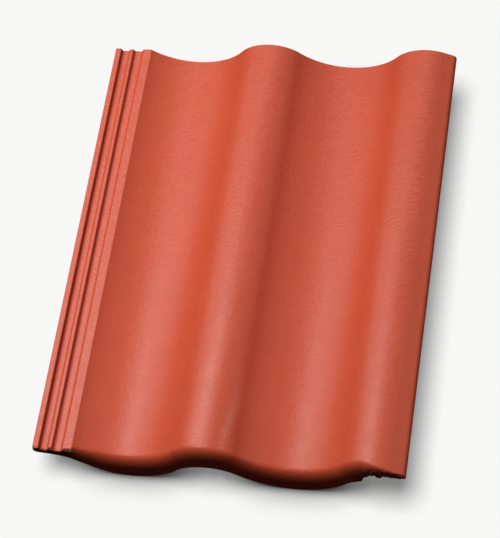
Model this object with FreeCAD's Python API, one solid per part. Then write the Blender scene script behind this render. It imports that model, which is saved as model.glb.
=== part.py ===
import FreeCAD, Part
import math
import os

os.makedirs("parts", exist_ok=True)

# Interlocking concrete roof pantile with two rolls, lying on its nibs and its foot nose.
# X runs across the course from the underlock to the overlock, Y up the slope from foot to head.
# The origin is at the middle of the tile's outline, on the floor. All sizes are millimetres.

# Body: a wave of tangent arcs, carried up the slope
tile_length = 420.0
cover_width = 300.0
roll_count = 2
wave_depth = 35.1
roll_radius = 36.8
crest_lean = 1.0
body_thickness = 11.5
flank_angle = 26.0

# Underlock strip on the left edge, from its outer rib to the crease of the first pan
outer_rib_width = 5.4
outer_rib_height = 4.0
outer_rib_fall = 1.0
first_groove_width = 5.9
inner_rib_rise = 2.3
inner_rib_width = 2.8
inner_rib_height = 3.1
inner_rib_fall = 1.5
second_groove_width = 6.5
shoulder_rise = 2.7
shoulder_width = 7.8
shoulder_height = 3.8
groove_floor = 15.3
strip_thickness = 4.4
strip_slope = 9.0
strip_corner = 4.0
lock_round = 0.8
strip_setback = 1.5

# Overlock under the last roll, shaped around the next tile's underlock
side_gap = 3.5
roof_clearance = 1.9
tooth_width = 3.6
tooth_draft = 0.8
tooth_clearance = 2.6
lip_clearance = 0.8
lip_side_clearance = 2.6

# Nose along the foot
nose_height = 26.4
nose_depth = 16.0
nose_round = 11.0
nose_back_draft = 5.0
nose_edge_round = 0.8
nose_end_round = 5.0
flank_round = 2.0
cheek_tuck = 18.0
cheek_inset = 6.7
cheek_blend = 60.0

# Weather bar behind the nose
bar_setback = 32.0
bar_depth = 8.0
bar_draft = 4.0
bar_gap = 2.0

# Hanging nibs under the pans
head_overhang = 22.0
nib_width = 48.0
nib_depth = 14.0
nib_side_draft = 4.0
nib_back_draft = 5.0
nib_round = 2.5

# How far a feature reaches into the body that it joins, and a cutter past the face that it cuts
bury = 5.0
overcut = 2.0

vector = FreeCAD.Vector
wave_pitch = cover_width / roll_count
rise_run = wave_pitch / 2 - crest_lean
fall_run = wave_pitch / 2 + crest_lean
foot = -tile_length / 2
hook_y = tile_length / 2 - head_overhang
trough_z = nose_height


def pan_radius(run):
    # radius that meets the roll on a common tangent, a given run from trough to crest
    return (run ** 2 + wave_depth ** 2) / (2 * wave_depth) - roll_radius


def wall_angle(run):
    # slope of that common tangent
    return math.asin(run / (pan_radius(run) + roll_radius))


# The section's stations across the tile, counted from the first trough
floor_z = trough_z + groove_floor
shoulder_z = floor_z + shoulder_height
pan_center_height = pan_radius(fall_run)
crease_angle = math.acos(1 - (shoulder_z - trough_z) / pan_center_height)
crease_run = pan_center_height * math.sin(crease_angle)
strip_steps = [outer_rib_width, outer_rib_fall, first_groove_width, inner_rib_rise, inner_rib_width,
               inner_rib_fall, second_groove_width, shoulder_rise, shoulder_width]
left_run = crease_run + sum(strip_steps)
right_run = cover_width - crease_run - side_gap

first_trough = (left_run - right_run) / 2
left_edge = first_trough - left_run
right_edge = first_trough + right_run
crease = first_trough - crease_run
troughs = [first_trough + wave_pitch * index for index in range(roll_count)]
crests = [trough + rise_run for trough in troughs]
crest_z = trough_z + wave_depth
roll_center_z = crest_z - roll_radius


def point(x, z):
    return vector(x, foot, z)


def polar(center, radius, angle):
    # angle from straight up, positive towards +X
    return point(center[0] + radius * math.sin(angle), center[1] + radius * math.cos(angle))


def arc(center, radius, start, end):
    middle = polar(center, radius, (start + end) / 2)
    curve = Part.Arc(polar(center, radius, start), middle, polar(center, radius, end))
    return curve.toShape()


def line(start, end):
    return Part.LineSegment(start, end).toShape()


def pan_center(trough, run, drop=0.0):
    return (trough, trough_z - drop + pan_radius(run))


def roll_center(crest, drop=0.0):
    return (crest, roll_center_z - drop)


def wave_arcs(offset, drop, left_angle, end_angle):
    # arcs of the wave from the first pan to the last roll, as centre, radius, start and end angle:
    # offset moves the face along its normal into the tile, drop lowers it straight down
    rise = wall_angle(rise_run)
    fall = wall_angle(fall_run)
    arcs = []
    enter = left_angle
    for trough, crest in zip(troughs, crests):
        leave = end_angle if crest == crests[-1] else fall
        arcs.append((pan_center(trough, fall_run, drop), pan_radius(fall_run) + offset,
                     math.pi + enter, math.pi))
        arcs.append((pan_center(trough, rise_run, drop), pan_radius(rise_run) + offset,
                     math.pi, math.pi - rise))
        arcs.append((roll_center(crest, drop), roll_radius - offset, -rise, leave))
        enter = fall
    return arcs


def edges_of(arcs):
    return [arc(*one) for one in arcs]


def rounded_run(points, radius):
    # straight runs through the points, with each corner between the ends rounded
    edges = []
    start = points[0]
    for before, corner, after in zip(points, points[1:], points[2:]):
        to_before = (before - corner).normalize()
        to_after = (after - corner).normalize()
        half = to_before.getAngle(to_after) / 2
        reach = radius / math.tan(half)
        tangent_in = corner + to_before * reach
        tangent_out = corner + to_after * reach
        toward_center = (to_before + to_after).normalize()
        middle = corner + toward_center * (radius / math.sin(half) - radius)
        edges.append(line(start, tangent_in))
        edges.append(Part.Arc(tangent_in, middle, tangent_out).toShape())
        start = tangent_out
    edges.append(line(start, points[-1]))
    return edges


def wire_of(edges):
    return Part.Wire(Part.__sortEdges__(edges))


# Underlock outline from the left edge's lower corner to the crease
strip_heights = [outer_rib_height, 0, 0, inner_rib_height, inner_rib_height, 0, 0, shoulder_height,
                 shoulder_height]
strip_points = [point(left_edge, floor_z + outer_rib_height)]
strip_x = left_edge
for step, height in zip(strip_steps, strip_heights):
    strip_x += step
    strip_points.append(point(strip_x, floor_z + height))
strip_under_z = floor_z - strip_thickness


def strip_under(x):
    return strip_under_z - (x - left_edge) * math.tan(math.radians(strip_slope))


# Where the sloping underside of the strip meets the underside of the first pan
under_center = pan_center(first_trough, fall_run)
under_radius = pan_radius(fall_run) + body_thickness
slope = math.radians(strip_slope)
level = under_center[1] - strip_under(first_trough)
lean = math.asin(level * math.cos(slope) / under_radius)
meet_angle = math.pi / 2 - lean + slope
strip_meet = polar(under_center, under_radius, math.pi + meet_angle)

# Overlock stations, each set from the neighbour's strip one cover width away
neighbour = [x.x + cover_width for x in strip_points]
roof_z = floor_z + outer_rib_height + roof_clearance
tooth_z = floor_z + tooth_clearance
lip_z = shoulder_z + lip_clearance
tooth_middle = (neighbour[2] + neighbour[3]) / 2
lip_start = neighbour[5] + lip_side_clearance
flank = math.radians(flank_angle)
flank_start = polar(roll_center(crests[-1]), roll_radius, flank)
right_z = flank_start.z - (right_edge - flank_start.x) * math.tan(flank)

# Underside of the last roll, up to the flat roof of the overlock
roof_center = roll_center(crests[-1])
roof_angle = -math.acos((roof_z - roof_center[1]) / (roll_radius - body_thickness))
roof_start = polar(roof_center, roll_radius - body_thickness, roof_angle)
nose_end_angle = -math.asin((crests[-1] - roof_start.x) / roll_radius)

overlock_points = [
    flank_start,
    point(right_edge, right_z),
    point(right_edge, lip_z),
    point(lip_start, lip_z),
    point(lip_start - tooth_draft, roof_z),
    point(tooth_middle + tooth_width / 2 + tooth_draft, roof_z),
    point(tooth_middle + tooth_width / 2, tooth_z),
    point(tooth_middle - tooth_width / 2, tooth_z),
    point(tooth_middle - tooth_width / 2 - tooth_draft, roof_z),
    roof_start,
]

# Whole section: underlock, top wave, overlock, underside wave and back along the strip
top_arcs = wave_arcs(0.0, 0.0, crease_angle, flank)
under_arcs = wave_arcs(body_thickness, 0.0, meet_angle, roof_angle)
strip_corner_points = [strip_meet, point(left_edge, strip_under_z), strip_points[0]]
section = rounded_run(strip_corner_points, strip_corner)[:-1]
strip_start = section[-1].Vertexes[-1].Point
section += rounded_run([strip_start] + strip_points, lock_round)
section += edges_of(top_arcs)
section += rounded_run(overlock_points, lock_round)
section += edges_of(under_arcs)
tile = Part.Face(wire_of(section)).extrude(vector(0, tile_length, 0))


def band_wire(drop, y, lift=0.0):
    # outline of a bar under the wave: its upper side buried in the body, its lower side the wave
    # lowered by drop, with a straight cheek that blends into the underside of the underlock, or
    # into a line a lift above it
    upper = wave_arcs(0.0, bury, crease_angle, nose_end_angle)
    lower = wave_arcs(0.0, drop, 0.0, nose_end_angle)[1:]
    cheek_x = crease - cheek_inset
    cheek_top = point(cheek_x, strip_under(cheek_x) + lift)
    cheek_radius = pan_radius(fall_run) - cheek_tuck
    cheek_center = (first_trough, trough_z - drop + cheek_radius)
    away_x = cheek_center[0] - cheek_top.x
    away_z = cheek_center[1] - cheek_top.z
    cheek_angle = math.atan2(away_x, away_z) - math.acos(cheek_radius / math.hypot(away_x, away_z))
    cheek_arc = (cheek_center, cheek_radius, math.pi + cheek_angle, math.pi)
    strip_left = point(left_edge, strip_under_z + lift)
    cheek = rounded_run([polar(*cheek_arc[:3]), cheek_top, strip_left], cheek_blend)[:-1]
    blend_end = cheek[-1].Vertexes[-1].Point
    buried = blend_end + vector(0, 0, bury)
    edges = edges_of(upper) + edges_of([cheek_arc]) + edges_of(lower) + cheek
    edges.append(line(polar(*upper[-1][:2], nose_end_angle), polar(*lower[-1][:2], nose_end_angle)))
    edges.append(line(blend_end, buried))
    edges.append(line(buried, polar(*upper[0][:3])))
    wire = wire_of(edges)
    wire.translate(vector(0, y, 0))
    return wire


def middle_of(edge):
    return edge.valueAt((edge.FirstParameter + edge.LastParameter) / 2)


def runs_back(edge):
    return abs(edge.Vertexes[0].Y - edge.Vertexes[-1].Y) > overcut


# Nose: a bar as deep as the foot is high, with a back that slopes into the body
flush = bury + overcut
nose = Part.makeLoft([band_wire(nose_height, 0.0), band_wire(nose_height, nose_depth),
                      band_wire(flush, nose_depth + nose_back_draft, overcut)], True, True)
nose_end = [edge for edge in nose.Edges
            if runs_back(edge) and middle_of(edge).x > roof_start.x - overcut and middle_of(edge).z < roof_z]
nose = nose.makeFillet(nose_end_round, nose_end).Solids[0]

# Its lower front edge: the edges of the foot's face with the nose above them
above = vector(0, nose_depth / 2, overcut)
nose_edge = [edge for edge in nose.Edges
             if edge.BoundBox.YMax < foot + overcut and nose.isInside(middle_of(edge) + above, 0.001, False)]
nose = nose.makeFillet(nose_edge_round, nose_edge).Solids[0]

# Weather bar, sloped on both sides and short of the nose's lower edge
bar_drop = nose_height - bar_gap
bar = Part.makeLoft([band_wire(flush, bar_setback - bar_draft, overcut),
                     band_wire(bar_drop, bar_setback),
                     band_wire(bar_drop, bar_setback + bar_depth),
                     band_wire(flush, bar_setback + bar_depth + bar_draft, overcut)], True, True)
tile = tile.fuse([nose, bar])


def prism(corners, run):
    return Part.Face(Part.makePolygon(corners + corners[:1])).extrude(run)


def nib(x):
    # block that tapers downwards, with an upright hook face towards the foot
    top_z = trough_z - bury
    left = x - nib_width / 2
    right = x + nib_width / 2
    back_y = hook_y + nib_depth
    across = prism([vector(left, hook_y, top_z), vector(right, hook_y, top_z),
                    vector(right - nib_side_draft, hook_y, 0), vector(left + nib_side_draft, hook_y, 0)],
                   vector(0, nib_depth, 0))
    along = prism([vector(left, hook_y, top_z), vector(left, back_y, top_z),
                   vector(left, back_y - nib_back_draft, 0), vector(left, hook_y, 0)],
                  vector(nib_width, 0, 0))
    block = across.common(along)
    soft = [edge for edge in block.Edges
            if max(v.Y for v in edge.Vertexes) > hook_y + overcut and min(v.Z for v in edge.Vertexes) < bury]
    return block.makeFillet(nib_round, soft)


tile = tile.fuse([nib(trough) for trough in troughs]).removeSplitter()


def at_crease(depth, y):
    # spot at a depth below the top face at the crease, y up the slope from the foot
    spot = polar(pan_center(first_trough, fall_run), pan_radius(fall_run) + depth, math.pi + crease_angle)
    return spot + vector(0, y, 0)


def on_last_roll(angle):
    return lambda depth, y: polar(roll_center(crests[-1]), roll_radius - depth, angle) + vector(0, y, 0)


def corner_wire(spot, radius):
    # outline of the corner that a rounding of the foot's top edge takes off
    bulge = radius * (1 - math.sqrt(0.5))
    rounding = Part.Arc(spot(radius, 0.0), spot(bulge, bulge), spot(0.0, radius))
    corner = Part.makePolygon([spot(0.0, radius), spot(-overcut, radius), spot(-overcut, -overcut),
                               spot(radius, -overcut), spot(radius, 0.0)])
    return wire_of([rounding.toShape()] + corner.Edges)


# Rounded top edge of the foot: full along the nose, tapering off over the last roll, slight along the flank
nose_path = Part.Wire(edges_of(wave_arcs(0.0, 0.0, crease_angle, nose_end_angle)))
taper_path = Part.Wire([arc(roll_center(crests[-1]), roll_radius, nose_end_angle, flank)])
flank_end = flank_start + vector(math.cos(flank), 0, -math.sin(flank)) * (right_edge - crests[-1])
flank_path = Part.Wire([line(flank_start, flank_end)])
nose_corner = corner_wire(on_last_roll(nose_end_angle), nose_round)
flank_corner = corner_wire(on_last_roll(flank), flank_round)
tile = tile.cut(nose_path.makePipeShell([corner_wire(at_crease, nose_round)], True, False))
tile = tile.cut(taper_path.makePipeShell([nose_corner, flank_corner], True, False))
tile = tile.cut(flank_path.makePipeShell([flank_corner], True, False))

# Raw end of the underlock, cut a little short of the nose
strip_end = Part.makeBox(crease - left_edge + overcut, strip_setback + overcut, crest_z,
                         vector(left_edge - overcut, foot - overcut, 0))
tile = tile.cut(strip_end).removeSplitter()

tile.exportStep("parts/pantile.step")
print("pantile: valid", tile.isValid(), "solids", len(tile.Solids), "volume", round(tile.Volume))
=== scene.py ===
import math

import bpy
import numpy as np
from mathutils import Matrix, Vector


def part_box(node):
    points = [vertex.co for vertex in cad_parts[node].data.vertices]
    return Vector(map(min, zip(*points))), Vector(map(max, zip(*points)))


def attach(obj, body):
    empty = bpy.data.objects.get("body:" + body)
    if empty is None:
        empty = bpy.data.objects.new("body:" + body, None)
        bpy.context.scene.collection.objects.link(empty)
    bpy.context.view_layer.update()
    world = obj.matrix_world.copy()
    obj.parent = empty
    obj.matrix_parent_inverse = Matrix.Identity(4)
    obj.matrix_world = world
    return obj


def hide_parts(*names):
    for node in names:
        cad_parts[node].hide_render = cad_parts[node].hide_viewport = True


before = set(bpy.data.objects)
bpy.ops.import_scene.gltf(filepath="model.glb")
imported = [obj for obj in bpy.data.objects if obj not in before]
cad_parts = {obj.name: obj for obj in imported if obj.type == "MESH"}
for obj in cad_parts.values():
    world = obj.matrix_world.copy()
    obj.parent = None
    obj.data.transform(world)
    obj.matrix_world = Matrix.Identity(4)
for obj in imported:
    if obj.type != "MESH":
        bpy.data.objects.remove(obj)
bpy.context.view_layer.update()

cadLow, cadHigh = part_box("pantile")
mm = 0.001
slack = 0.01  # for comparing places in millimetres and layers


# small node helpers, shared by the tile's tree, its finish and the floor

nodeSpacing = (220, 180)


def addNode(tree, kind, inputs=None, **settings):
    node = tree.nodes.new(kind)
    for name, value in settings.items():
        setattr(node, name, value)
    for key, value in (inputs or {}).items():
        if isinstance(value, bpy.types.NodeSocket):
            tree.links.new(value, node.inputs[key])
        else:
            node.inputs[key].default_value = value
    return node


def calc(tree, operation, *values):
    return addNode(tree, "ShaderNodeMath", dict(enumerate(values)), operation=operation).outputs[0]


def product(tree, first, *others):
    for other in others:
        first = calc(tree, "MULTIPLY", first, other)
    return first


def vecCalc(tree, operation, *values):
    return addNode(tree, "ShaderNodeVectorMath", dict(enumerate(values)), operation=operation).outputs[0]


def scaled(tree, vector, factor):
    return addNode(tree, "ShaderNodeVectorMath", {0: vector, "Scale": factor}, operation="SCALE").outputs[0]


def combined(tree, axes):
    return addNode(tree, "ShaderNodeCombineXYZ", axes).outputs[0]


def separated(tree, vector):
    return addNode(tree, "ShaderNodeSeparateXYZ", {0: vector}).outputs


def ramp(tree, value, start, end, low=0.0, high=1.0):
    inputs = {"Value": value, "From Min": start, "From Max": end, "To Min": low, "To Max": high}
    return addNode(tree, "ShaderNodeMapRange", inputs, interpolation_type="SMOOTHSTEP").outputs["Result"]


def blend(tree, factor, first, second):
    return addNode(tree, "ShaderNodeMix", {"Factor": factor, 2: first, 3: second}).outputs[0]


def blendColours(tree, factor, first, second):
    # a colour is a plain triple or another node's output
    inputs = {"Factor": factor}
    for socket, colour in ((6, first), (7, second)):
        inputs[socket] = (*colour, 1) if isinstance(colour, tuple) else colour
    return addNode(tree, "ShaderNodeMix", inputs, data_type="RGBA").outputs[2]


def noise(tree, vector, scale, detail, roughness):
    inputs = {"Vector": vector, "Scale": scale, "Detail": detail, "Roughness": roughness}
    return addNode(tree, "ShaderNodeTexNoise", inputs).outputs[0]


def tidyNodes(tree):
    # lay the nodes out from left to right by how deep they sit
    depth = {node: 0 for node in tree.nodes}
    for _ in tree.nodes:
        for link in tree.links:
            depth[link.to_node] = max(depth[link.to_node], depth[link.from_node] + 1)
    rows = {}
    for node, column in depth.items():
        rows[column] = rows.get(column, 0) + 1
        node.location = (column * nodeSpacing[0], -rows[column] * nodeSpacing[1])


# roof pantile: one section across it, carried up it row by row, in millimetres

tileShape = {
    "coverWidth": 300.0, "waveDepth": 35.1, "rollRadius": 36.8, "crestLean": 1.0, "bodyThickness": 11.5,
    "flankAngle": 26.0, "troughZ": 26.4,
    # underlock: steps and heights from the left edge to the crease
    "stripSteps": [5.4, 1.0, 5.9, 2.3, 2.8, 1.5, 6.5, 2.7, 7.8],
    "stripHeights": [4.0, 0.0, 0.0, 3.1, 3.1, 0.0, 0.0, 3.8, 3.8],
    "outerRibHeight": 4.0, "grooveFloor": 15.3, "stripThickness": 4.4, "stripSlope": 9.0,
    "stripCorner": 4.0, "lockRound": 0.8, "stripSetback": 1.5,
    # overlock under the right-hand roll
    "roofClearance": 1.9, "toothWidth": 3.6, "toothDraft": 0.8, "toothClearance": 2.6,
    "lipClearance": 0.8, "lipSideClearance": 2.6, "flankRound": 2.6,
    # nose, and its cheek on the left
    "noseHeight": 26.4, "noseDepth": 16.0, "noseEdgeRound": 0.8, "noseEndRound": 5.0, "noseBackRun": 3.84,
    "cheekTuck": 18.0, "cheekInset": 6.7, "cheekBlend": 60.0,
    # foot edge: it turns down over a short run and a longer drop, and less of it at the crease and the flank
    "edgeRun": 10.0, "edgeDrop": 16.5, "creaseShare": 0.68, "creaseTaper": 2.0, "flankShare": 0.18,
    # weather bar and nibs
    "barStart": 29.0, "barFrom": 32.0, "barTo": 40.0, "barEnd": 43.0, "barGap": 2.0,
    "hookInset": 22.0, "nibWidth": 48.0, "nibDepth": 14.0, "nibDraft": 4.0, "nibBackDraft": 5.0,
    "nibRound": 2.5, "nibInset": 0.4,
    # broken concrete at the cut ends: how deep and how far down it goes, a lump's size, its reach up the tile
    "raggedDepth": 1.2, "raggedDrop": 0.9, "raggedSize": 2.2, "raggedReach": 3.0,
    "depthRange": (0.3, 0.7), "dropRange": (0.4, 0.75), "raggedDetail": 3.0, "seed": 7,
    # how raw the ends of the underlock, the pan beside the crease and the overlock are, and how far it shows
    "stripRaw": 1.0, "creaseRaw": 0.8, "creaseRawFade": 1.4, "overlockRaw": 0.8, "rawReach": 1.9,
    "rawFade": 1.0,
    # chips out of the underlock's foot end: place across, half width, depth
    "chips": [(-149.8, 3.4, 1.6), (-134.0, 5.0, 2.2), (-157.4, 2.0, 0.8), (-165.2, 2.2, 1.0)],
    # the last of these: how far the painted shade beside the ribs' right sides runs out on the groove floor
    "chipReach": 2.4, "chipMark": 0.3, "paintedShadeReach": 2.6,
    # mesh density across the tile
    "arcSteps": 30, "rollSteps": 38, "lastRollSteps": 26, "cornerSteps": 4, "blendSteps": 16, "endSteps": 10,
    "nibSteps": 6, "lockStride": 1.1, "creaseGap": 0.3,
    # mesh density up the tile and through it
    "turnSteps": 12, "noseStride": 2.5, "slopeStride": 1.0, "grooveStride": 2.4, "barStride": 2.7,
    "rowStride": 14.0, "hookStep": 0.15, "nibStride": 2.2, "headRows": [2.5, 5.0], "layers": 10,
    "joinDistance": 0.0002, "sharpAngle": 24.0,
}


def onCircle(center, radius, degrees):
    # angle from straight up, positive towards +X
    turn = math.radians(degrees)
    return Vector((center[0] + radius * math.sin(turn), center[1] + radius * math.cos(turn)))


def roundedPath(corners, radius, steps):
    # straight runs with their inner corners rounded
    path = [corners[0]]
    for before, corner, after in zip(corners, corners[1:], corners[2:]):
        toBefore = (before - corner).normalized()
        toAfter = (after - corner).normalized()
        half = toBefore.angle(toAfter) / 2
        middle = corner + (toBefore + toAfter).normalized() * (radius / math.sin(half))
        reach = radius / math.tan(half)
        arm = corner + toBefore * reach - middle
        sweep = arm.angle_signed(corner + toAfter * reach - middle)
        for step in range(steps + 1):
            path.append(middle + Matrix.Rotation(-sweep * step / steps, 2) @ arm)
    path.append(corners[-1])
    return path


def filledPath(path, stride):
    # extra points on the long straight runs
    filled = [path[0]]
    for start, end in zip(path, path[1:]):
        count = max(1, math.ceil((end - start).length / stride))
        filled += [start.lerp(end, step / count) for step in range(1, count + 1)]
    return filled


def spreadPath(path, count):
    # the same path with evenly spaced points
    lengths = np.cumsum([0.0] + [(after - before).length for before, after in zip(path, path[1:])])
    wanted = np.linspace(0.0, lengths[-1], count)
    across = np.interp(wanted, lengths, [spot.x for spot in path])
    heights = np.interp(wanted, lengths, [spot.y for spot in path])
    return [Vector((x, z)) for x, z in zip(across, heights)]


def tileLines(shape):
    # the wave's main lines: edges, crease, trough and crest, and the arcs between them
    roll, depth, thick = shape["rollRadius"], shape["waveDepth"], shape["bodyThickness"]
    lines = {"leftEdge": cadLow.x / mm, "rightEdge": cadHigh.x / mm, "pitch": shape["coverWidth"] / 2}
    runs = {"rise": lines["pitch"] / 2 - shape["crestLean"], "fall": lines["pitch"] / 2 + shape["crestLean"]}
    radius = {side: (run ** 2 + depth ** 2) / (2 * depth) - roll for side, run in runs.items()}
    wall = {side: math.degrees(math.asin(run / (radius[side] + roll))) for side, run in runs.items()}
    lines.update({"runs": runs, "radius": radius, "wall": wall})
    lines["floorZ"] = shape["troughZ"] + shape["grooveFloor"]
    lines["shoulderZ"] = lines["floorZ"] + shape["stripHeights"][-1]
    lines["crease"] = lines["leftEdge"] + sum(shape["stripSteps"])
    creaseTurn = math.acos(1 - (lines["shoulderZ"] - shape["troughZ"]) / radius["fall"])
    lines["creaseAngle"] = math.degrees(creaseTurn)
    lines["trough"] = lines["crease"] + radius["fall"] * math.sin(creaseTurn)
    outer = radius["fall"] + thick
    lines["underAngle"] = math.degrees(math.asin((lines["trough"] - lines["crease"]) / outer))
    lines["rollZ"] = shape["troughZ"] + depth - roll
    lines["lastCrest"] = lines["trough"] + runs["rise"] + lines["pitch"]
    # where the nose ends and the overlock's roof starts, under the last roll
    lines["roofZ"] = lines["floorZ"] + shape["outerRibHeight"] + shape["roofClearance"]
    lines["roofAngle"] = -math.degrees(math.acos((lines["roofZ"] - lines["rollZ"]) / (roll - thick)))
    lines["roofStart"] = onCircle((lines["lastCrest"], lines["rollZ"]), roll - thick, lines["roofAngle"])
    lines["roofTopAngle"] = -math.degrees(math.asin((lines["lastCrest"] - lines["roofStart"].x) / roll))
    return lines


def addStation(stations, top, under, **values):
    station = {"top": top, "under": under, "nose": under, "nib": under, "inward": Vector((0.0, 0.0)),
               "edge": 0.0, "strip": 0.0, "raw": 0.0, "chip": 0.0, "grime": 0.0}
    station.update(values)
    stations.append(station)


def stripUnder(shape, lines, x):
    # the strip's underside, with its rounded left corner, down to the pan's underside
    fromEdge = x - lines["leftEdge"]
    slope = math.tan(math.radians(shape["stripSlope"]))
    level = lines["floorZ"] - shape["stripThickness"] - fromEdge * slope
    corner = shape["stripCorner"]
    lift = corner - math.sqrt(corner ** 2 - (corner - min(fromEdge, corner)) ** 2)
    panRadius = lines["radius"]["fall"]
    outer = panRadius + shape["bodyThickness"]
    pan = shape["troughZ"] + panRadius - math.sqrt(max(0.0, outer ** 2 - (x - lines["trough"]) ** 2))
    return Vector((x, min(level + lift, pan)))


def underlockStations(shape, lines):
    leftEdge, floorZ, rib = lines["leftEdge"], lines["floorZ"], shape["outerRibHeight"]
    corners = [Vector((leftEdge, floorZ + rib / 2)), Vector((leftEdge, floorZ + rib))]
    for step, height in zip(shape["stripSteps"], shape["stripHeights"]):
        corners.append(Vector((corners[-1].x + step, floorZ + height)))
    path = roundedPath(corners, shape["lockRound"], shape["cornerSteps"])
    stations = []
    for top in filledPath(path, shape["lockStride"]):
        chip = sum(depth * max(0.0, 1 - ((top.x - place) / width) ** 2)
                   for place, width, depth in shape["chips"])
        addStation(stations, top, stripUnder(shape, lines, top.x), strip=1.0, raw=shape["stripRaw"],
                   chip=chip)
    # painted shade: the ribs' right sides, which face away from the lamps, and the groove floor next to them
    # are darkened, running out over the reach
    for before, one, after in zip(stations, stations[1:], stations[2:]):
        falling = min(1.0, max(0.0, (before["top"].y - after["top"].y) / shape["lockStride"]))
        for near in stations:
            gap = near["top"].x - one["top"].x
            if 0.0 <= gap < shape["paintedShadeReach"]:
                near["grime"] = max(near["grime"], falling * (1 - gap / shape["paintedShadeReach"]))
    return stations


def waveStations(shape, lines):
    # two pans and two rolls, up to the overlock
    radius, wall, thick = lines["radius"], lines["wall"], shape["bodyThickness"]
    steps, roll, creaseShare = shape["arcSteps"], shape["rollRadius"], shape["creaseShare"]
    creaseStep = shape["creaseGap"] / radius["fall"] / math.radians(lines["creaseAngle"])
    stations = []

    def addBody(center, topRadius, underRadius, topTurn, underTurn, edge=1.0, raw=0.0):
        top = onCircle(center, topRadius, topTurn)
        inward = onCircle((0, 0), math.copysign(1.0, underRadius - topRadius), topTurn)
        addStation(stations, top, onCircle(center, underRadius, underTurn), inward=inward, edge=edge, raw=raw,
                   nose=top - Vector((0.0, shape["noseHeight"])))

    for last in (False, True):
        low = lines["trough"] + last * lines["pitch"]
        startTurns = (wall["fall"], wall["fall"]) if last else (lines["creaseAngle"], lines["underAngle"])
        endTurns = (lines["roofTopAngle"], lines["roofAngle"]) if last else (wall["fall"], wall["fall"])
        center = (low, shape["troughZ"] + radius["fall"])
        for step in range(1 if last else 0, steps):
            share = max(step / steps, 0.0 if last else creaseStep)  # the crease stays a sharp line
            topTurn, underTurn = (180 + turn * (1 - share) for turn in startTurns)
            edge, raw = 1.0, 0.0
            if not last:
                edge = min(1.0, creaseShare + (1 - creaseShare) * share * shape["creaseTaper"])
                raw = max(0.0, shape["creaseRaw"] - share * shape["creaseRawFade"])
            addBody(center, radius["fall"], radius["fall"] + thick, topTurn, underTurn, edge, raw)
        center = (low, shape["troughZ"] + radius["rise"])
        for step in range(steps):
            turn = 180 - wall["rise"] * step / steps
            addBody(center, radius["rise"], radius["rise"] + thick, turn, turn)
        center = (low + lines["runs"]["rise"], lines["rollZ"])
        count = shape["lastRollSteps"] if last else shape["rollSteps"]
        for step in range(count):
            share = step / count
            topTurn, underTurn = (turn * share - wall["rise"] * (1 - share) for turn in endTurns)
            addBody(center, roll, roll - thick, topTurn, underTurn, raw=share if last else 0.0)
    return stations


def overlockTop(shape, lines, x):
    # the last roll, then the straight flank with its rounded edge
    center, roll, rounding = (lines["lastCrest"], lines["rollZ"]), shape["rollRadius"], shape["flankRound"]
    flankStart = onCircle(center, roll, shape["flankAngle"])
    if x < flankStart.x:
        turn = math.degrees(math.asin((x - center[0]) / roll))
        return onCircle(center, roll, turn), turn
    slope = math.tan(math.radians(shape["flankAngle"]))
    share = max(0.0, x - (lines["rightEdge"] - rounding)) / rounding
    drop = rounding * (1 - math.sqrt(max(0.0, 1 - share ** 2)))
    return Vector((x, flankStart.y - (x - flankStart.x) * slope - drop)), shape["flankAngle"]


def overlockStations(shape, lines):
    # roof, tooth and lip, which sit over the next tile's underlock
    roofZ, rightEdge = lines["roofZ"], lines["rightEdge"]
    nextStrip = lines["leftEdge"] + shape["coverWidth"] + np.cumsum(shape["stripSteps"])
    tooth = (nextStrip[1] + nextStrip[2]) / 2
    toothZ = lines["floorZ"] + shape["toothClearance"]
    lip = nextStrip[4] + shape["lipSideClearance"]
    lipZ = lines["shoulderZ"] + shape["lipClearance"]
    half, draft = shape["toothWidth"] / 2, shape["toothDraft"]
    outline = [(tooth - half - draft, roofZ), (tooth - half, toothZ), (tooth + half, toothZ),
               (tooth + half + draft, roofZ), (lip - draft, roofZ), (lip, lipZ), (rightEdge, lipZ),
               (rightEdge, lipZ + 2 * shape["lockRound"])]
    corners = [lines["roofStart"]] + [Vector(corner) for corner in outline]
    path = roundedPath(corners, shape["lockRound"], shape["cornerSteps"])
    stations = []
    for under in filledPath(path, shape["lockStride"])[:-1]:
        top, turn = overlockTop(shape, lines, under.x)
        taper = (turn - lines["roofTopAngle"]) / (shape["flankAngle"] - lines["roofTopAngle"])
        addStation(stations, top, under, inward=-onCircle((0, 0), 1.0, turn), raw=shape["overlockRaw"],
                   edge=1 + (shape["flankShare"] - 1) * taper)
    return stations


def spreadOver(stations, key, path, count):
    for one, spot in zip(stations, spreadPath(path, count)):
        one[key] = spot


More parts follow.
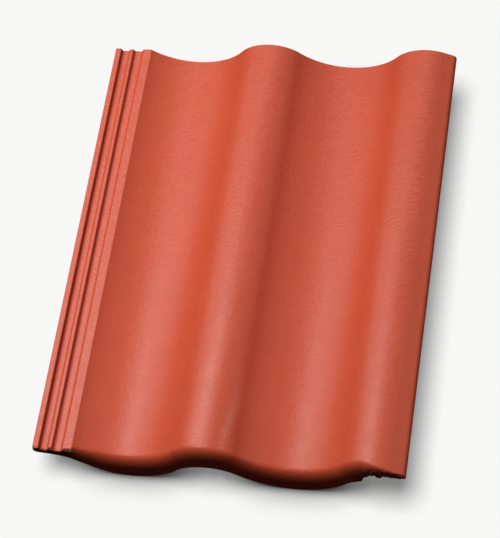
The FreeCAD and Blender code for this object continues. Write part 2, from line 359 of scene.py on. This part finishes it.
def shapeNose(shape, lines, stations):
    # cheek on the left, blended into the strip
    cheekRadius = lines["radius"]["fall"] - shape["cheekTuck"]
    cheekTop = stripUnder(shape, lines, lines["crease"] - shape["cheekInset"])
    center = Vector((lines["trough"], shape["troughZ"] - shape["noseHeight"] + cheekRadius))
    away = center - cheekTop
    startTurn = math.degrees(math.atan2(away.x, away.y) - math.acos(cheekRadius / away.length))
    turns = np.linspace(180 + startTurn, 180, shape["blendSteps"])
    cheek = [onCircle(center, cheekRadius, turn) for turn in turns]
    stripLeft = Vector((lines["leftEdge"], lines["floorZ"] - shape["stripThickness"]))
    blending = roundedPath([stripLeft, cheekTop, cheek[0]], shape["cheekBlend"], shape["blendSteps"])
    cheek = blending[1:-1] + cheek
    onCheek = [one for one in stations if cheek[0].x <= one["top"].x < lines["trough"] + slack]
    spreadOver(onCheek, "nose", cheek, len(onCheek) + 1)

    # rounded end on the right, up to the overlock's roof
    rise, roll, roofStart = lines["wall"]["rise"], shape["rollRadius"], lines["roofStart"]
    center = (lines["lastCrest"], lines["rollZ"] - shape["noseHeight"])
    turns = np.linspace(-rise, (lines["roofTopAngle"] - rise) / 2, shape["endSteps"])
    end = [onCircle(center, roll, turn) for turn in turns]
    corner = onCircle(center, roll, lines["roofTopAngle"])
    end = end[:-1] + roundedPath([end[-1], corner, roofStart], shape["noseEndRound"], shape["cornerSteps"])
    onEnd = [one for one in stations if end[0].x - slack <= one["top"].x < roofStart.x - slack]
    spreadOver(onEnd, "nose", end, len(onEnd) + 1)


def shapeNibs(shape, lines, stations):
    half = shape["nibWidth"] / 2
    foot = half - shape["nibDraft"]
    for low in (lines["trough"], lines["trough"] + lines["pitch"]):
        onNib = [one for one in stations if abs(one["under"].x - low) < half - shape["nibInset"]]
        start, end = onNib[0]["under"], onNib[-1]["under"]
        corners = [start, Vector((low - foot, 0.0)), Vector((low + foot, 0.0)), end]
        spreadOver(onNib, "nib", roundedPath(corners, shape["nibRound"], shape["nibSteps"]), len(onNib))


def tileStations(shape):
    # one station for each column of the mesh: where its top, underside, nose and nib points are
    lines = tileLines(shape)
    stations = underlockStations(shape, lines) + waveStations(shape, lines) + overlockStations(shape, lines)
    shapeNose(shape, lines, stations)
    shapeNibs(shape, lines, stations)
    return stations


def tileRows(shape):
    # one row for each step up the tile: its place and how far nose, bar and nibs reach down there
    length = (cadHigh.y - cadLow.y) / mm
    hook = length - shape["hookInset"]
    nibEnd = hook + shape["nibDepth"]
    noseBack = shape["noseDepth"] + shape["noseBackRun"]
    turns = np.linspace(math.pi / 2, 0.0, shape["turnSteps"] + 1)
    sunk = [shape["edgeDrop"] * (1 - math.cos(turn)) for turn in turns]
    runs = [shape["edgeRun"] * (1 - math.sin(turn)) for turn in turns]
    places = list(runs)
    stretches = [(shape["noseDepth"], "noseStride"), (noseBack, "slopeStride"),
                 (shape["barStart"], "grooveStride"), (shape["barFrom"], "slopeStride"),
                 (shape["barTo"], "barStride"), (shape["barEnd"], "slopeStride"), (hook, "rowStride")]
    for end, stride in stretches:
        count = max(1, math.ceil((end - places[-1]) / shape[stride]))
        places += list(np.linspace(places[-1], end, count + 1)[1:])
    nibTop = shape["troughZ"] - shape["bodyThickness"]
    nibCorners = [(hook + shape["hookStep"], 0.0), (nibEnd - shape["nibBackDraft"], 0.0), (nibEnd, nibTop)]
    nibBack = roundedPath([Vector(corner) for corner in nibCorners], shape["nibRound"], shape["cornerSteps"])
    nibBack = filledPath(nibBack, shape["nibStride"])
    places += [spot.x for spot in nibBack] + [nibEnd + step for step in shape["headRows"]] + [length]
    beyond = [0.0] * (len(places) - len(runs))  # rows past the turned edge

    noseFull = shape["noseHeight"] - shape["bodyThickness"]
    barShare = 1 - shape["barGap"] / noseFull
    noseReach = {shape["noseDepth"]: 1.0, noseBack: 0.0, shape["barStart"]: 0.0, shape["barFrom"]: barShare,
                 shape["barTo"]: barShare, shape["barEnd"]: 0.0}
    nibReach = {hook: 0.0, **{spot.x: 1 - spot.y / nibTop for spot in nibBack}}

    def reachAt(place, reach):
        return np.interp(place, list(reach), list(reach.values()))

    def fading(place, reach):
        return max(0.0, 1 - place / reach)

    rows = []
    for place, run, drop in zip(places, runs + beyond, sunk + beyond):
        edge = fading(place, shape["noseEdgeRound"])
        lift = shape["noseEdgeRound"] * (1 - math.sqrt(1 - edge ** 2)) / noseFull
        rows.append({"place": place, "run": run, "sunk": drop, "noseReach": reachAt(place, noseReach) - lift,
                     "nibReach": reachAt(place, nibReach) if place < nibEnd else 0.0,
                     "setback": shape["stripSetback"] * fading(place, shape["edgeRun"]),
                     "ragged": fading(place, shape["raggedReach"]),
                     "chipped": fading(place, shape["chipReach"]),
                     "front": min(1.0, max(0.0, (shape["rawReach"] - place) / shape["rawFade"])),
                     "atFoot": float(place == 0.0), "atHead": float(place == length)})
    return rows


def chainObject(name, points, values):
    # a string of points that carries the values which the tree looks up
    mesh = bpy.data.meshes.new(name)
    mesh.from_pydata([tuple(point) for point in points], [], [])
    for key, column in values.items():
        vectors = isinstance(column[0], tuple)
        layer = mesh.attributes.new(key, "FLOAT_VECTOR" if vectors else "FLOAT", "POINT")
        flat = [number for value in column for number in value] if vectors else column
        layer.data.foreach_set("vector" if vectors else "value", flat)
    chain = bpy.data.objects.new(name, mesh)
    bpy.context.scene.collection.objects.link(chain)
    return chain


def buildTileTree():
    tree = bpy.data.node_groups.new("pantile sweep", "GeometryNodeTree")
    sockets = {"Object": ["Stations", "Rows"], "Int": ["Station Count", "Row Count", "Layers"],
               "Float": ["Foot", "Chip Mark", "Ragged Depth", "Ragged Drop", "Ragged Size", "Ragged Reach",
                         "Ragged Detail", "Join Distance", "Sharp Angle", "Seed"],
               "Material": ["Finish"]}
    for kind, names in sockets.items():
        for name in names:
            tree.interface.new_socket(name, in_out="INPUT", socket_type="NodeSocket" + kind)
    tree.interface.new_socket("Geometry", in_out="OUTPUT", socket_type="NodeSocketGeometry")
    given = tree.nodes.new("NodeGroupInput").outputs
    block = addNode(tree, "GeometryNodeMeshCube", {
        "Size": (1, 1, 1), "Vertices X": given["Station Count"], "Vertices Y": given["Row Count"],
        "Vertices Z": given["Layers"]})

    def position():
        return addNode(tree, "GeometryNodeInputPosition").outputs[0]

    def attribute(name, kind="FLOAT"):
        node = addNode(tree, "GeometryNodeInputNamedAttribute", {"Name": name}, data_type=kind)
        return node.outputs["Attribute"]

    def counted(share, count):
        return calc(tree, "ROUND", product(tree, share, calc(tree, "SUBTRACT", count, 1.0)))

    # which station, row and layer each point of the block stands for
    cell = separated(tree, vecCalc(tree, "ADD", position(), (0.5, 0.5, 0.5)))
    across = counted(cell[0], given["Station Count"])
    upward = counted(cell[1], given["Row Count"])
    level = cell[2]
    onTop = calc(tree, "GREATER_THAN", level, 1 - slack)
    onUnderside = calc(tree, "LESS_THAN", level, slack)
    stations, rows = (addNode(tree, "GeometryNodeObjectInfo", {"Object": given[name]}).outputs["Geometry"]
                      for name in ("Stations", "Rows"))

    def lookUp(source, index, name, kind):
        inputs = {"Geometry": source, "Value": attribute(name, kind), "Index": index}
        node = addNode(tree, "GeometryNodeSampleIndex", inputs, data_type=kind, domain="POINT")
        return node.outputs["Value"]

    def station(name, kind="FLOAT"):
        return lookUp(stations, across, name, kind)

    def row(name):
        return lookUp(rows, upward, name, "FLOAT")

    # foot edge: how far the top is turned over, and how far back it starts
    strip = station("strip")
    edge = station("edge")
    sunk = product(tree, edge, row("sunk"))
    tighter = product(tree, row("run"), calc(tree, "SUBTRACT", edge, 1.0))
    fromFoot = calc(tree, "ADD", row("place"), blend(tree, strip, tighter, row("setback")))
    place = calc(tree, "ADD", fromFoot, given["Foot"])

    # top and underside of this station on this row, and the layer between them
    chip = product(tree, station("chip"), row("chipped"))
    inward = scaled(tree, station("inward", "FLOAT_VECTOR"), sunk)
    top = vecCalc(tree, "ADD", station("top", "FLOAT_VECTOR"), inward)
    top = vecCalc(tree, "SUBTRACT", top, combined(tree, {2: chip}))
    plain = station("under", "FLOAT_VECTOR")
    under = plain
    for name, reach in (("nose", "noseReach"), ("nib", "nibReach")):
        down = vecCalc(tree, "SUBTRACT", station(name, "FLOAT_VECTOR"), plain)
        under = vecCalc(tree, "ADD", under, scaled(tree, down, row(reach)))
    spot = vecCalc(tree, "ADD", under, scaled(tree, vecCalc(tree, "SUBTRACT", top, under), level))
    spot = vecCalc(tree, "ADD", spot, combined(tree, {1: place}))

    # what the finish and the broken ends need: bare concrete, painted shade beside the ribs and how broken it
    # is
    raw = station("raw")
    bare = product(tree, blend(tree, strip, row("front"), row("atFoot")), raw)
    bare = calc(tree, "MAXIMUM", bare, product(tree, onUnderside, calc(tree, "SUBTRACT", 1.0, row("atFoot"))))
    bare = calc(tree, "MAXIMUM", bare, product(tree, row("atHead"), calc(tree, "SUBTRACT", 1.0, onTop)))
    bare = calc(tree, "MAXIMUM", bare, calc(tree, "GREATER_THAN", chip, given["Chip Mark"]))
    # painted shade on the top beside the ribs' right sides
    grime = product(tree, station("grime"), onTop)
    broken = product(tree, raw, blend(tree, strip, 1.0, level))
    ragged = product(tree, row("ragged"), broken)
    fromEnd = calc(tree, "ADD", row("place"), blend(tree, strip, tighter, 0.0))
    torn = calc(tree, "SUBTRACT", 1.0, calc(tree, "DIVIDE", fromEnd, given["Ragged Reach"]))
    torn = product(tree, calc(tree, "MAXIMUM", torn, 0.0), broken)
    kept = {"bare": bare, "grime": grime, "ragged": ragged, "torn": torn, "level": level}
    marked = block
    for name, value in kept.items():
        inputs = {"Geometry": marked.outputs[0], "Name": name, "Value": value}
        marked = addNode(tree, "GeometryNodeStoreNamedAttribute", inputs, data_type="FLOAT", domain="POINT")
    shaped = addNode(tree, "GeometryNodeSetPosition", {"Geometry": marked.outputs[0], "Position": spot})

    # broken concrete at the cut ends: moved up the slope and down from the coat, never outwards
    lumpSpot = vecCalc(tree, "MULTIPLY", position(), (1, 0, 1))  # the same up the tile, so that nothing folds
    lumpScale = calc(tree, "DIVIDE", 1.0, given["Ragged Size"])
    lumps = addNode(tree, "ShaderNodeTexNoise", {
        "Vector": lumpSpot, "W": given["Seed"], "Detail": given["Ragged Detail"], "Scale": lumpScale},
        noise_dimensions="4D")
    rough = separated(tree, lumps.outputs["Color"])
    back = product(tree, ramp(tree, rough[0], *tileShape["depthRange"]), attribute("torn"),
                   given["Ragged Depth"])
    down = product(tree, ramp(tree, rough[1], *tileShape["dropRange"]), attribute("ragged"),
                   given["Ragged Drop"], attribute("level"), -1.0)
    shaped = addNode(tree, "GeometryNodeSetPosition", {
        "Geometry": shaped.outputs[0], "Offset": combined(tree, {1: back, 2: down})})
    joined = addNode(tree, "GeometryNodeMergeByDistance", {
        "Geometry": shaped.outputs[0], "Distance": given["Join Distance"]})

    smooth = addNode(tree, "GeometryNodeSetShadeSmooth", {
        "Geometry": joined.outputs[0], "Shade Smooth": True}, domain="FACE")
    angle = addNode(tree, "GeometryNodeInputMeshEdgeAngle").outputs["Unsigned Angle"]
    crisp = addNode(tree, "GeometryNodeSetShadeSmooth", {
        "Geometry": smooth.outputs[0], "Selection": calc(tree, "GREATER_THAN", angle, given["Sharp Angle"]),
        "Shade Smooth": False}, domain="EDGE")
    real = addNode(tree, "GeometryNodeRealizeInstances", {"Geometry": crisp.outputs[0]})
    dressed = addNode(tree, "GeometryNodeSetMaterial", {
        "Geometry": real.outputs[0], "Material": given["Finish"]})
    addNode(tree, "NodeGroupOutput", {"Geometry": dressed.outputs[0]})
    tidyNodes(tree)
    return tree


def makePantile(finish):
    stations = tileStations(tileShape)
    rows = tileRows(tileShape)
    across = {"inward": [(one["inward"].x, 0.0, one["inward"].y) for one in stations]}
    for key in ("top", "under", "nose", "nib"):
        across[key] = [(one[key].x * mm, 0.0, one[key].y * mm) for one in stations]
    for key, unit in (("chip", mm), ("edge", 1.0), ("strip", 1.0), ("raw", 1.0), ("grime", 1.0)):
        across[key] = [one[key] * unit for one in stations]
    stationChain = chainObject("pantile stations", across["top"], across)
    upward = {}
    for key in ("noseReach", "nibReach", "ragged", "chipped", "front", "atFoot", "atHead"):
        upward[key] = [float(one[key]) for one in rows]
    for key in ("place", "setback", "run", "sunk"):
        upward[key] = [one[key] * mm for one in rows]
    rowChain = chainObject("pantile rows", [(0.0, place, 0.0) for place in upward["place"]], upward)

    sweep = buildTileTree()
    tile = bpy.data.objects.new("roof_pantile", bpy.data.meshes.new("roof_pantile"))
    bpy.context.scene.collection.objects.link(tile)
    modifier = tile.modifiers.new("pantile sweep", "NODES")
    modifier.node_group = sweep
    settings = {"Stations": stationChain, "Rows": rowChain, "Station Count": len(stations),
                "Row Count": len(rows), "Layers": tileShape["layers"], "Foot": cadLow.y,
                "Chip Mark": tileShape["chipMark"] * mm, "Ragged Depth": tileShape["raggedDepth"] * mm,
                "Ragged Drop": tileShape["raggedDrop"] * mm, "Ragged Size": tileShape["raggedSize"] * mm,
                "Ragged Reach": tileShape["raggedReach"] * mm, "Ragged Detail": tileShape["raggedDetail"],
                "Join Distance": tileShape["joinDistance"] * mm,
                "Sharp Angle": math.radians(tileShape["sharpAngle"]), "Seed": float(tileShape["seed"]),
                "Finish": finish}
    for socket in sweep.interface.items_tree:
        if socket.in_out == "INPUT":
            modifier[socket.identifier] = settings[socket.name]
    graph = bpy.context.evaluated_depsgraph_get()
    graph.update()
    made = bpy.data.meshes.new_from_object(tile.evaluated_get(graph), preserve_all_data_layers=True,
                                           depsgraph=graph)
    tile.modifiers.remove(modifier)
    tile.data = made
    made.name = "roof_pantile"
    for helper in (stationChain, rowChain):
        bpy.data.objects.remove(helper)
    print("pantile swept:", len(stations), "stations,", len(rows), "rows,",
          sum(len(face.vertices) - 2 for face in made.polygons), "triangles")
    return tile


# brick red coat on concrete, bare concrete below and at the cut ends

coatLook = {
    # a darker red painted as shade in the drag ripples' hollows
    "red": (0.648, 0.094, 0.040), "deepRed": (0.629, 0.089, 0.037), "rippleShadeRed": (0.550, 0.072, 0.029),
    # a dark red painted as shade beside the ribs' right sides
    # a pale pink for worn scuffs, with painted sheen where it runs along the rolls
    "scuffAndSheenPink": (0.900, 0.440, 0.350), "pitBrown": (0.250, 0.040, 0.022), "paintedShadeRed": (0.270, 0.030, 0.012),
    "bareBrown": (0.300, 0.105, 0.070), "bareDark": (0.200, 0.070, 0.048),
    # a pale concrete for the overlock's broken end, partly its own colour and partly painted light on faces
    # in shade
    "brokenPaleAndPaintedLight": (0.720, 0.330, 0.250), "grime": 0.85, "bareRoughness": 0.9, "reflection": 1.40,
    # noise patterns: cells to a metre, detail, roughness
    "patterns": {"peel": (330.0, 2.0, 0.5), "grain": (950.0, 3.0, 0.6), "swell": (60.0, 2.0, 0.5),
                 "mottle": (38.0, 4.0, 0.5), "sand": (620.0, 3.0, 0.65), "rub": (700.0, 4.0, 0.65),
                 "pores": (520.0, 4.0, 0.7), "ripple": (1.0, 2.0, 0.5)},
    # what follows a pattern: where in the pattern it starts and ends, strength (roughness for matt) at both
    "mottled": (0.3, 0.7, 0.0, 1.0), "rippleShade": (0.56, 0.40, 0.0, 0.26), "speck": (0.32, 0.44, 0.16, 0.0),
    "rubbed": (0.48, 0.68, 0.16, 1.0), "stripRubbed": (0.56, 0.70, 0.0, 0.40),
    "stripDusky": (0.40, 0.28, 0.0, 0.45), "bareMottled": (0.35, 0.6, 0.0, 1.0),
    "pale": (0.38, 0.52, 0.0, 1.0), "matt": (0.3, 0.7, 0.40, 0.44),
    # what changes up the tile: the two places in metres, strength at both
    "dragging": (-0.20, 0.08, 0.30, 1.0), "pitted": (0.1, -0.2, 0.10, 0.40),
    "scuffAndSheenStop": (-0.203, -0.195, 0.0, 1.0),
    # drag ripples: waves to a metre along and across the tile, how far they sag between crest and trough
    "ripplesAlong": 410.0, "ripplesAcross": 170.0, "rippleSag": 0.026,
    # relief of the coat in millimetres
    "rippleDepth": 0.52, "peelDepth": 0.20, "grainDepth": 0.06, "stripGrain": 0.16, "pitDepth": 0.15,
    "poreDepth": 0.5,
    # pits: cells to a metre, size of the smallest in its cell and how much more the largest
    "pitCells": 190.0, "pitSize": 0.04, "pitSpread": 0.06,
    # worn scuffs with painted sheen on the rolls: a point on the line, its lean up the tile, half width, foot
    # and head end, strength
    "scuffsAndSheen": [(-0.0024, 0.079, 0.012, -0.19, 0.05, 0.30), (0.0290, 0.119, 0.006, -0.19, -0.12, 0.45),
               (0.1420, 0.060, 0.012, -0.19, -0.08, 0.08)],
}


def dragRipples(tree, axes, lines):
    # short arcs across each pan that sag towards the foot
    fromTrough = calc(tree, "SUBTRACT", axes[0], lines["trough"] * mm)
    wave = product(tree, fromTrough, 2 * math.pi / (lines["pitch"] * mm))
    along = calc(tree, "MULTIPLY_ADD", calc(tree, "COSINE", wave), coatLook["rippleSag"] / 2, axes[1])
    dragged = combined(tree, {0: product(tree, axes[0], coatLook["ripplesAcross"]),
                              1: product(tree, along, coatLook["ripplesAlong"]),
                              2: product(tree, axes[2], coatLook["ripplesAcross"])})
    return noise(tree, dragged, *coatLook["patterns"]["ripple"])


def coatPits(tree, spot, axes):
    # small and scattered, more of them at the foot
    cells = addNode(tree, "ShaderNodeTexVoronoi", {
        "Vector": spot, "Scale": coatLook["pitCells"], "Randomness": 1.0}).outputs
    chosen = addNode(tree, "ShaderNodeSeparateColor", {0: cells["Color"]}).outputs
    size = calc(tree, "MULTIPLY_ADD", chosen[1], coatLook["pitSpread"], coatLook["pitSize"])
    share = ramp(tree, axes[1], *coatLook["pitted"])
    return product(tree, calc(tree, "LESS_THAN", cells["Distance"], size),
                   calc(tree, "LESS_THAN", chosen[0], share))


def rollScuffsAndSheen(tree, axes, rub):
    # worn scuffs with a painted sheen along the rolls, thicker towards the foot
    band = 0.0
    for place, lean, width, footEnd, headEnd, strength in coatLook["scuffsAndSheen"]:
        line = calc(tree, "MULTIPLY_ADD", axes[1], lean, place)
        offLine = calc(tree, "ABSOLUTE", calc(tree, "SUBTRACT", axes[0], line))
        streak = product(tree, ramp(tree, offLine, width, 0.0),
                         ramp(tree, axes[1], headEnd, footEnd, 0.0, strength))
        band = calc(tree, "MAXIMUM", band, streak)
    return product(tree, band, ramp(tree, rub, *coatLook["rubbed"]),
                   ramp(tree, axes[1], *coatLook["scuffAndSheenStop"]))


def makeCoat():
    finish = bpy.data.materials.new("brick red coat")
    finish.use_nodes = True
    tree = finish.node_tree
    tree.nodes.clear()
    spot = addNode(tree, "ShaderNodeTexCoord").outputs["Object"]
    axes = separated(tree, spot)
    bare, broken, grime = (addNode(tree, "ShaderNodeAttribute", attribute_name=name).outputs["Fac"]
                           for name in ("bare", "ragged", "grime"))
    lines = tileLines(tileShape)
    crease = lines["crease"] * mm
    onStrip = ramp(tree, axes[0], crease, crease - mm)
    peel, grain, swell, mottle, sand, rub, pores = (
        noise(tree, spot, *coatLook["patterns"][name])
        for name in ("peel", "grain", "swell", "mottle", "sand", "rub", "pores"))
    ripple = dragRipples(tree, axes, lines)
    dragging = ramp(tree, axes[1], *coatLook["dragging"])  # ripples fade towards the foot
    pit = coatPits(tree, spot, axes)

    # coat, from its ground colour up to the marks on it, with painted shade in the ripples' hollows and
    # beside the ribs and painted sheen on the roll scuffs
    rubbed = product(tree, ramp(tree, sand, *coatLook["stripRubbed"]), onStrip)
    # painted shade: darker red in the ripples' hollows, where the ripples' shade falls
    layers = [(product(tree, ramp(tree, ripple, *coatLook["rippleShade"]), dragging), "rippleShadeRed"),
              (ramp(tree, grain, *coatLook["speck"]), "pitBrown"), (pit, "pitBrown"),
              # worn scuffs with painted sheen along the rolls, and rubbed specks on the strip
              (calc(tree, "MAXIMUM", rollScuffsAndSheen(tree, axes, rub), rubbed), "scuffAndSheenPink"),
              (product(tree, ramp(tree, sand, *coatLook["stripDusky"]), onStrip), "pitBrown"),
              # painted shade: dark red beside the ribs' right sides, where shade falls
              (product(tree, grime, coatLook["grime"]), "paintedShadeRed")]
    coat = blendColours(tree, ramp(tree, mottle, *coatLook["mottled"]), coatLook["deepRed"], coatLook["red"])
    for share, name in layers:
        coat = blendColours(tree, share, coat, coatLook[name])

    # bare concrete, paler where it broke at the overlock's end: partly the broken concrete's own colour,
    # partly painted light on end faces that stand in shade
    bareShare = ramp(tree, pores, *coatLook["bareMottled"])
    concrete = blendColours(tree, bareShare, coatLook["bareDark"], coatLook["bareBrown"])
    pale = product(tree, broken, ramp(tree, pores, *coatLook["pale"]), calc(tree, "SUBTRACT", 1.0, onStrip))
    concrete = blendColours(tree, pale, concrete, coatLook["brokenPaleAndPaintedLight"])
    colour = blendColours(tree, bare, coat, concrete)

    matt = ramp(tree, swell, *coatLook["matt"])
    # matt on bare concrete and where shade is painted, so no sheen shows there
    matt = blend(tree, calc(tree, "MAXIMUM", bare, grime), matt, coatLook["bareRoughness"])

    relief = [(product(tree, ripple, dragging), coatLook["rippleDepth"]), (peel, coatLook["peelDepth"]),
              (grain, coatLook["grainDepth"]), (product(tree, sand, onStrip), coatLook["stripGrain"]),
              (pit, -coatLook["pitDepth"]), (product(tree, pores, bare), coatLook["poreDepth"])]
    height = 0.0
    for pattern, depth in relief:
        height = calc(tree, "MULTIPLY_ADD", pattern, depth, height)
    bump = addNode(tree, "ShaderNodeBump", {"Height": height, "Strength": 1.0, "Distance": mm}).outputs[0]
    shader = addNode(tree, "ShaderNodeBsdfPrincipled", {
        "Base Color": colour, "Roughness": matt, "Normal": bump, "IOR": coatLook["reflection"]})
    addNode(tree, "ShaderNodeOutputMaterial", {"Surface": shader.outputs[0]})
    tidyNodes(tree)
    print("coat mixed:", len(tree.nodes), "nodes")
    return finish


# studio: pale floor, far soft boxes behind and on the right, near ones on the left and overhead

studio = {
    "floorColour": (0.930, 0.930, 0.925), "floorBounce": (0.042, 0.011, 0.007), "floorGlow": 0.24,
    "floorMirror": 0.02, "floorSize": 4.0, "floorDrop": 0.0003,
    # shade where the tile is close to the floor: its reach, its colour, how open the darkest place is
    "contactReach": 0.031, "contactGrey": (0.20, 0.20, 0.20), "contactOpen": 0.40, "contactSamples": 16,
    # the floor's own lamp, steep so that the shadow stays close: where it shines from, strength, spread
    "floorLamp": ((-0.06, 0.02, 0.97), 3.14), "floorSpread": 36.0,
    # far lamps: where each shines from, strength
    "farLamps": {"back soft box": ((0.00, 0.77, 0.64), 1.03), "right soft box": ((0.76, 0.30, 0.59), 0.40)},
    "farSpread": 40.0,
    # near lamps: where each stands, watts
    "nearLamps": {"left soft box": ((-0.85, 0.42, 0.77), 3.5),
                  "overhead soft box": ((-0.45, 0.20, 1.30), 11.2)},
    "nearWidth": 0.6, "roomColour": (1.0, 1.0, 1.0), "roomStrength": 0.004,
}


def makeFloor():
    size = studio["floorSize"]
    corners = [(-size, -size), (size, -size), (size, size), (-size, size)]
    mesh = bpy.data.meshes.new("floor")
    mesh.from_pydata([(x, y, -studio["floorDrop"]) for x, y in corners], [], [(0, 1, 2, 3)])
    floor = bpy.data.objects.new("floor", mesh)
    bpy.context.scene.collection.objects.link(floor)
    paper = bpy.data.materials.new("pale floor")
    paper.use_nodes = True
    tree = paper.node_tree
    tree.nodes.clear()

    def mixShaders(factor, first, second):
        return addNode(tree, "ShaderNodeMixShader", {0: factor, 1: first, 2: second}).outputs[0]

    path = addNode(tree, "ShaderNodeLightPath").outputs
    mirrored = calc(tree, "MAXIMUM", path["Is Glossy Ray"], path["Is Transmission Ray"])
    contact = addNode(tree, "ShaderNodeAmbientOcclusion", {"Distance": studio["contactReach"]},
                      samples=studio["contactSamples"]).outputs["AO"]
    pale = blendColours(tree, ramp(tree, contact, studio["contactOpen"], 1.0), studio["contactGrey"],
                        studio["floorColour"])
    lit = addNode(tree, "ShaderNodeBsdfDiffuse", {"Color": pale}).outputs[0]
    glow = addNode(tree, "ShaderNodeEmission", {"Color": pale}).outputs[0]
    dim = addNode(tree, "ShaderNodeBsdfDiffuse", {"Color": (*studio["floorBounce"], 1)}).outputs[0]
    seen = mixShaders(studio["floorGlow"], lit, glow)
    unseen = mixShaders(product(tree, mirrored, studio["floorMirror"]), dim, lit)
    surface = mixShaders(path["Is Camera Ray"], unseen, seen)
    addNode(tree, "ShaderNodeOutputMaterial", {"Surface": surface})
    tidyNodes(tree)
    mesh.materials.append(paper)
    return floor


def addLamp(name, kind, place, energy, litThings):
    light = bpy.data.lights.new(name, kind)
    light.energy = energy
    lamp = bpy.data.objects.new(name, light)
    lamp.location = place
    lamp.rotation_euler = Vector(place).to_track_quat("Z", "Y").to_euler()  # shines at the tile
    lamp.light_linking.receiver_collection = litThings
    bpy.context.scene.collection.objects.link(lamp)
    return light


def lampGroup(name, thing):
    group = bpy.data.collections.new(name)
    group.objects.link(thing)
    return group


def makeStudio(tile):
    ground = lampGroup("lit floor", makeFloor())
    lit = lampGroup("lit tile", tile)
    light = addLamp("floor soft box", "SUN", *studio["floorLamp"], ground)
    light.angle = math.radians(studio["floorSpread"])
    for name, (direction, strength) in studio["farLamps"].items():
        light = addLamp(name, "SUN", direction, strength, lit)
        light.angle = math.radians(studio["farSpread"])
    for name, (place, watts) in studio["nearLamps"].items():
        light = addLamp(name, "AREA", place, watts, lit)
        light.shape = "DISK"
        light.size = studio["nearWidth"]
    room = bpy.data.worlds.new("room")
    room.use_nodes = True
    air = room.node_tree.nodes["Background"]
    air.inputs["Color"].default_value = (*studio["roomColour"], 1)
    air.inputs["Strength"].default_value = studio["roomStrength"]
    bpy.context.scene.world = room
    bpy.context.scene.view_settings.view_transform = "Standard"
    print("studio set:", len(studio["farLamps"]) + len(studio["nearLamps"]) + 1, "lamps")


# camera: where the photograph was taken from, for a picture of 500 by 538

shot = {"place": (0.38179, -0.78274, 1.59215), "azimuth": 26.450, "elevation": 61.162, "roll": -20.137,
        "lens": 130.74, "sensor": 36.0}


def makeCamera():
    side = math.radians(shot["azimuth"])
    lift = math.radians(shot["elevation"])
    tilt = math.radians(shot["roll"])
    back = Vector((math.sin(side) * math.cos(lift), -math.cos(side) * math.cos(lift), math.sin(lift)))
    right = Vector((math.cos(side), math.sin(side), 0.0))
    up = back.cross(right)
    acrossPicture = right * math.cos(tilt) + up * math.sin(tilt)
    upPicture = up * math.cos(tilt) - right * math.sin(tilt)
    lens = bpy.data.cameras.new("camera")
    lens.lens = shot["lens"]
    lens.sensor_width = shot["sensor"]
    camera = bpy.data.objects.new("camera", lens)
    turned = Matrix((acrossPicture, upPicture, back)).transposed().to_4x4()
    camera.matrix_world = Matrix.Translation(shot["place"]) @ turned
    bpy.context.scene.collection.objects.link(camera)
    bpy.context.scene.camera = camera
    print("camera placed")


pantile = makePantile(makeCoat())
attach(pantile, "root")
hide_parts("pantile")
makeStudio(pantile)
makeCamera()
